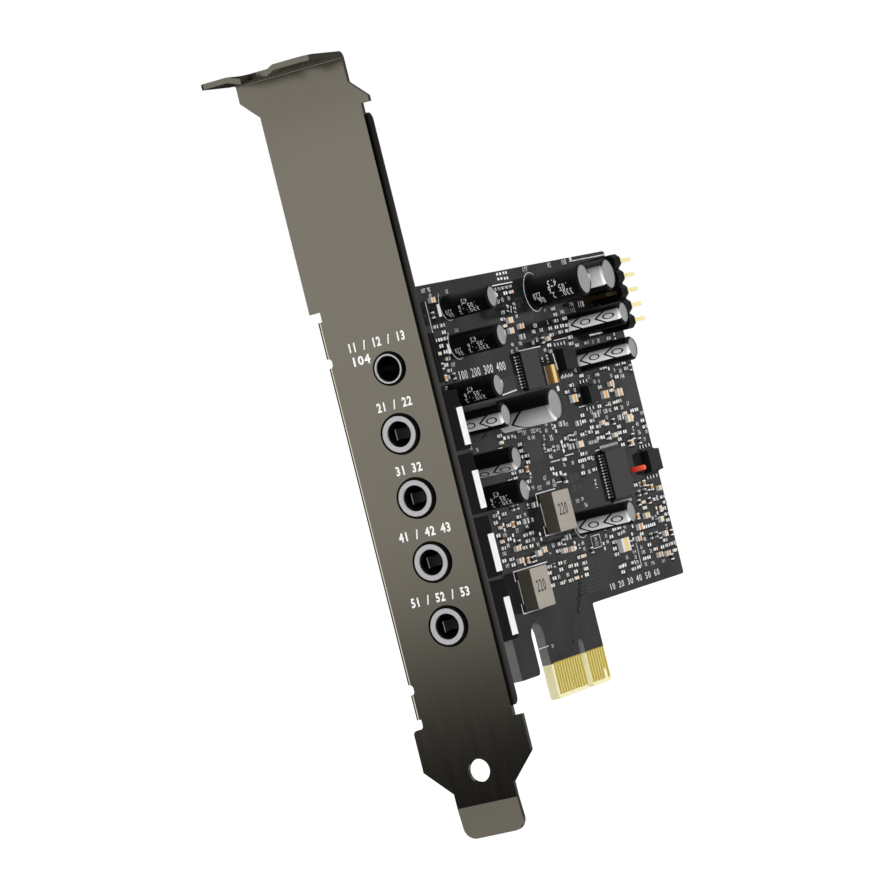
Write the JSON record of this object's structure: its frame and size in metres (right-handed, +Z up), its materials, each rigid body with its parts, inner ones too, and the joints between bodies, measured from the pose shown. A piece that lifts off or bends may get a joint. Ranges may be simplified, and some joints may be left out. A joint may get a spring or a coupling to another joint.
{
  "type": "pci express sound card",
  "caption": "Low-profile sound card for a computer slot: board with contacts, audio jacks, capacitors, chips and pin header, on a full-height dark bracket.",
  "frame": {"origin": "middle of the key notch at the bottom edge of the contact tongue, halfway through the board", "axes": "+X along the board away from the bracket, +Z up from the contacts to the board's top edge, -Y out of the face that carries the parts"},
  "size_m": [0.1169, 0.0215, 0.12],
  "materials": {
    "black_nickel": "dark plated steel sheet, glossy",
    "board_laminate": "black solder mask over glass laminate",
    "contact_gold": "gold flash",
    "black_moulding": "moulded, satin",
    "jack_metal": "nickel plated",
    "tinned_metal": "tin plated",
    "can_aluminium": "drawn, satin",
    "can_sleeve": "shrunk sleeve",
    "ferrite": "moulded ferrite, matt",
    "chip_ceramic": "fired ceramic",
    "chip_resistor_black": "glazed top",
    "moulded_cream": "moulded, satin",
    "screw_steel": "zinc plated"
  },
  "bodies": {
    "root": {"amplifier_bodies": "black_moulding", "bracket": "black_nickel", "bracket_screws": "screw_steel", "capacitor_can_1": "can_aluminium", "capacitor_can_10": "can_aluminium", "capacitor_can_11": "can_aluminium", "capacitor_can_12": "can_aluminium", "capacitor_can_2": "can_aluminium", "capacitor_can_3": "can_aluminium", "capacitor_can_4": "can_aluminium", "capacitor_can_5": "can_aluminium", "capacitor_can_6": "can_aluminium", "capacitor_can_7": "can_aluminium", "capacitor_can_8": "can_aluminium", "capacitor_can_9": "can_aluminium", "capacitor_leads": "tinned_metal", "capacitor_sleeve_1": "can_sleeve", "capacitor_sleeve_10": "can_sleeve", "capacitor_sleeve_11": "can_sleeve", "capacitor_sleeve_12": "can_sleeve", "capacitor_sleeve_2": "can_sleeve", "capacitor_sleeve_3": "can_sleeve", "capacitor_sleeve_4": "can_sleeve", "capacitor_sleeve_5": "can_sleeve", "capacitor_sleeve_6": "can_sleeve", "capacitor_sleeve_7": "can_sleeve", "capacitor_sleeve_8": "can_sleeve", "capacitor_sleeve_9": "can_sleeve", "chip_capacitors": "chip_ceramic", "chip_resistors": "chip_resistor_black", "chip_terminals": "tinned_metal", "circuit_board": "board_laminate", "converter_body": "black_moulding", "converter_leads": "tinned_metal", "edge_contacts": "contact_gold", "header_base": "black_moulding", "header_pins": "contact_gold", "inductor_block_1": "ferrite", "inductor_block_2": "ferrite", "inductor_feet": "tinned_metal", "jack_contacts_1": "tinned_metal", "jack_contacts_2": "tinned_metal", "jack_contacts_3": "tinned_metal", "jack_contacts_4": "tinned_metal", "jack_contacts_5": "tinned_metal", "jack_housing_1": "black_moulding", "jack_housing_2": "black_moulding", "jack_housing_3": "black_moulding", "jack_housing_4": "black_moulding", "jack_housing_5": "black_moulding", "jack_ring_1": "jack_metal", "jack_ring_2": "jack_metal", "jack_ring_3": "jack_metal", "jack_ring_4": "jack_metal", "jack_ring_5": "jack_metal", "moulded_capacitors": "moulded_cream", "processor_body": "black_moulding", "processor_leads": "tinned_metal", "regulator_body": "black_moulding", "small_chip_leads": "tinned_metal"}
  },
  "joints": []
}
